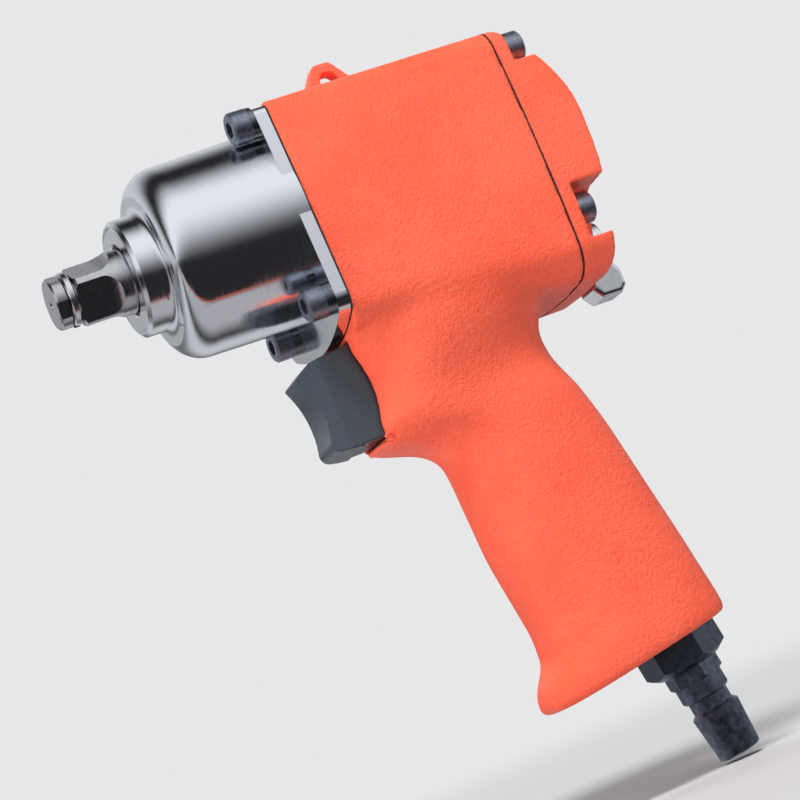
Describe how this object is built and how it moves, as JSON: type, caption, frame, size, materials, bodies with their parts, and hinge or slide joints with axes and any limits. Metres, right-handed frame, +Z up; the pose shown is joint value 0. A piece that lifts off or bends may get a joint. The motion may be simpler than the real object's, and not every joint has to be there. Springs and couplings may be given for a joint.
{
  "type": "impact wrench",
  "caption": "Pistol-grip pneumatic impact wrench with a polished hammer case, square drive, trigger, reversing lever and a quick air plug.",
  "frame": {"origin": "centre of the square drive's front face", "axes": "+X forward along the drive axis, +Y to the tool's left, +Z up away from the grip"},
  "size_m": [0.1452, 0.0532, 0.2072],
  "materials": {
    "orange_paint": "orange-peel enamel",
    "polished_case": "polished",
    "zinc_screw": "grey-blue zinc phosphate",
    "drive_steel": "ground steel",
    "black_oxide": "black oxide",
    "plug_steel": "worn blue-black steel",
    "nickel": "satin nickel",
    "gasket": "matt",
    "bronze": "bearing bronze",
    "hardened_steel": "hardened and ground",
    "trigger_plastic": "moulded slate grey",
    "laminate": "phenolic laminate",
    "spring_steel": "bright wire",
    "sintered": "sintered bronze"
  },
  "bodies": {
    "housing": {"motor_housing": "orange_paint", "rear_cover": "orange_paint", "hammer_case": "polished_case", "front_gasket": "gasket", "rear_gasket": "gasket", "front_bolts": "zinc_screw", "front_spring_washers": "zinc_screw", "rear_bolts": "zinc_screw", "rear_spring_washers": "zinc_screw", "anvil_bushing": "bronze", "nose_ring": "polished_case", "cylinder_liner": "hardened_steel", "front_end_plate": "hardened_steel", "rear_end_plate": "hardened_steel", "front_bearing": "hardened_steel", "rear_bearing": "hardened_steel", "cylinder_dowel": "hardened_steel", "trigger_pin": "hardened_steel", "stem_guide": "bronze", "throttle_seat": "bronze", "throttle_spring": "spring_steel", "inlet_bushing": "black_oxide", "inlet_screen": "spring_steel", "air_plug": "plug_steel", "exhaust_muffler": "sintered"},
    "motor": {"rotor": "hardened_steel", "rotor_vanes": "laminate", "hammer_frame": "hardened_steel", "hammer_pins": "hardened_steel"},
    "anvil": {"anvil": "drive_steel", "friction_ring": "drive_steel", "friction_o_ring": "gasket"},
    "rear_hammer": {"rear_hammer": "hardened_steel"},
    "front_hammer": {"front_hammer": "hardened_steel"},
    "trigger": {"trigger": "trigger_plastic", "trigger_stem": "hardened_steel"},
    "throttle_valve": {"throttle_valve": "hardened_steel"},
    "reverser": {"reverse_valve": "hardened_steel", "reverse_lever": "nickel", "lever_screw": "hardened_steel"}
  },
  "joints": [
    {"name": "motor_spin", "type": "hinge", "parent": "housing", "child": "motor", "pos_m": [0, 0, 0], "axis": [1, 0, 0], "continuous": true},
    {"name": "anvil_spin", "type": "hinge", "parent": "housing", "child": "anvil", "pos_m": [0, 0, 0], "axis": [1, 0, 0], "continuous": true},
    {"name": "rear_hammer_rock", "type": "hinge", "parent": "motor", "child": "rear_hammer", "pos_m": [-0.0546, 0, 0.018], "axis": [1, 0, 0], "range_deg": [-2.5, 2.5]},
    {"name": "front_hammer_rock", "type": "hinge", "parent": "motor", "child": "front_hammer", "pos_m": [-0.0462, 0, -0.018], "axis": [1, 0, 0], "range_deg": [-2.5, 2.5]},
    {"name": "trigger_slide", "type": "slide", "parent": "housing", "child": "trigger", "axis": [-1, 0, 0], "range_m": [0, 0.006], "stiffness_N_per_m": 900, "springref_m": -0.002, "deforming": ["throttle_spring"]},
    {"name": "throttle_valve_slide", "type": "slide", "parent": "housing", "child": "throttle_valve", "axis": [-1, 0, 0], "range_m": [0, 0.006]},
    {"name": "reverse_turn", "type": "hinge", "parent": "housing", "child": "reverser", "pos_m": [-0.1392, 0, -0.0315], "axis": [1, 0, 0], "range_deg": [-25, 25]}
  ],
  "couplings": [
    {"joint": "anvil_spin", "follows": "motor_spin", "ratio": 1},
    {"joint": "throttle_valve_slide", "follows": "trigger_slide", "ratio": 1}
  ]
}
